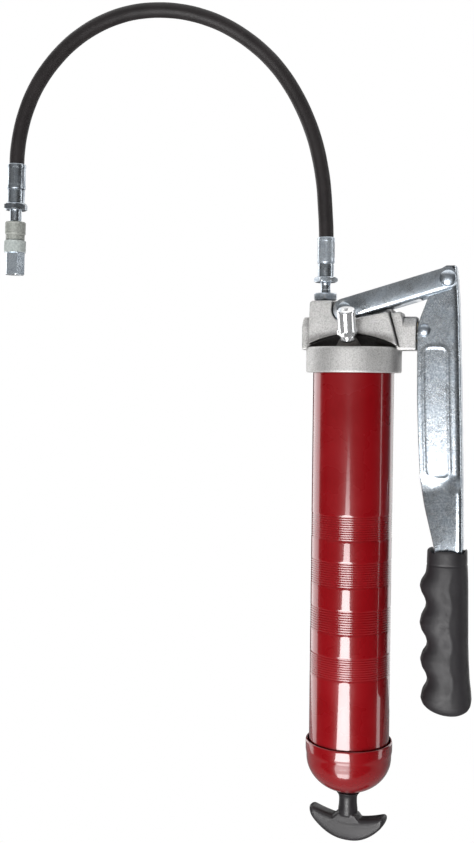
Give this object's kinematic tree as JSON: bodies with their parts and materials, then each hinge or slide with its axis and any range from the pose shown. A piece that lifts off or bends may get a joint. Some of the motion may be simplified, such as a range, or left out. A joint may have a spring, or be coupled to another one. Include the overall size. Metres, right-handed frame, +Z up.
{
  "type": "grease gun",
  "caption": "Lever-action grease gun: cartridge barrel, cast pump head, channel lever with moulded grip, T-handle follower rod and flexible hose with a jaw coupler.",
  "frame": {"origin": "on the flat back face of the head block, in line with the barrel axis, 36 mm above the bottom face of the head's collar", "axes": "+Z up the barrel towards the head and hose, +X towards the lever, -Y towards the filler side (front); the barrel axis is at y = -0.016"},
  "size_m": [0.3276, 0.0983, 0.5948],
  "materials": {
    "cast_metal": "as-cast, fine grained matte",
    "red_enamel": "high-gloss baked enamel",
    "zinc_plate": "bright zinc plate, mottled",
    "bright_chrome": "polished nickel-chrome",
    "bright_steel": "ground steel",
    "spring_steel": "oiled spring wire",
    "brass": "turned brass",
    "black_plastic": "moulded black vinyl, satin",
    "hose_rubber": "smooth extruded hose cover",
    "seal_rubber": "nitrile"
  },
  "bodies": {
    "head": {"head_casting": "cast_metal", "barrel_tube": "red_enamel", "barrel_gasket": "seal_rubber", "end_cap": "red_enamel", "follower_spring": "spring_steel", "plunger_packing": "seal_rubber", "packing_nut": "brass", "bore_end_plug": "bright_steel", "check_spring": "spring_steel", "outlet_adapter": "zinc_plate", "filler_fitting": "bright_chrome", "filler_spring": "spring_steel", "hose_stem_head": "zinc_plate", "hose_ferrule_head": "zinc_plate", "hose_head_end": "hose_rubber"},
    "link": {"link": "zinc_plate", "link_rivet_head": "zinc_plate", "link_rivet_lever": "zinc_plate"},
    "lever": {"lever": "zinc_plate", "lever_grip": "black_plastic", "plunger_rivet": "zinc_plate"},
    "plunger": {"plunger": "bright_steel"},
    "follower": {"follower_plate": "zinc_plate", "follower_cup": "seal_rubber", "follower_washer": "zinc_plate"},
    "rod": {"follower_rod": "bright_steel", "rod_nut": "zinc_plate", "t_handle": "black_plastic"},
    "check_ball": {"check_ball": "bright_steel"},
    "filler_ball": {"filler_ball": "bright_steel"},
    "hose_mid": {"hose_middle": "hose_rubber"},
    "hose_end": {"hose_coupler_end": "hose_rubber", "hose_ferrule_coupler": "zinc_plate", "hose_stem_coupler": "zinc_plate", "coupler_body": "zinc_plate", "coupler_spring": "spring_steel"},
    "coupler_nose": {"coupler_nose": "zinc_plate"},
    "coupler_jaws": {"coupler_jaw_1": "bright_steel", "coupler_jaw_2": "bright_steel", "coupler_jaw_3": "bright_steel", "coupler_seal": "seal_rubber"}
  },
  "joints": [
    {"name": "link_rock", "type": "hinge", "parent": "head", "child": "link", "pos_m": [-0.00515, -0.016, 0.00786], "axis": [0, -1, 0], "range_deg": [0, 1.4]},
    {"name": "lever_swing", "type": "hinge", "parent": "link", "child": "lever", "pos_m": [0.06577, -0.016, 0.02854], "axis": [0, -1, 0], "range_deg": [0, 40]},
    {"name": "plunger_stroke", "type": "slide", "parent": "head", "child": "plunger", "axis": [1, 0, 0], "range_m": [0, 0.0269]},
    {"name": "follower_pull", "type": "slide", "parent": "head", "child": "follower", "axis": [0, 0, -1], "range_m": [0, 0.208], "deforming": ["follower_spring"]},
    {"name": "rod_turn", "type": "hinge", "parent": "follower", "child": "rod", "pos_m": [0, -0.016, -0.336], "axis": [0, 0, 1], "continuous": true},
    {"name": "check_lift", "type": "slide", "parent": "head", "child": "check_ball", "axis": [0, 0, 1], "range_m": [0, 0.002], "stiffness_N_per_m": 150, "deforming": ["check_spring"]},
    {"name": "filler_lift", "type": "slide", "parent": "head", "child": "filler_ball", "axis": [0, 0.453, -0.8915], "range_m": [0, 0.003], "stiffness_N_per_m": 150, "deforming": ["filler_spring"]},
    {"name": "hose_flex_head", "type": "hinge", "parent": "head", "child": "hose_mid", "pos_m": [-0.05724, -0.02575, 0.18063], "axis": [0.2588, -0.9659, 0], "range_deg": [-20, 20], "stiffness_Nm_per_rad": 3},
    {"name": "hose_flex_coupler", "type": "hinge", "parent": "hose_mid", "child": "hose_end", "pos_m": [-0.16873, -0.05562, 0.21133], "axis": [0.2588, -0.9659, 0], "range_deg": [-20, 20], "stiffness_Nm_per_rad": 3},
    {"name": "coupler_nose_turn", "type": "hinge", "parent": "hose_end", "child": "coupler_nose", "pos_m": [-0.23447, -0.07324, 0.03722], "axis": [-0.0228, -0.0061, -0.9997], "continuous": true},
    {"name": "jaw_push", "type": "slide", "parent": "hose_end", "child": "coupler_jaws", "axis": [0.0228, 0.0061, 0.9997], "range_m": [0, 0.001], "stiffness_N_per_m": 400, "deforming": ["coupler_spring"]}
  ],
  "couplings": [
    {"joint": "link_rock", "follows": "lever_swing", "ratio": 0.032},
    {"joint": "plunger_stroke", "follows": "lever_swing", "m_per_rad": 0.0383}
  ]
}
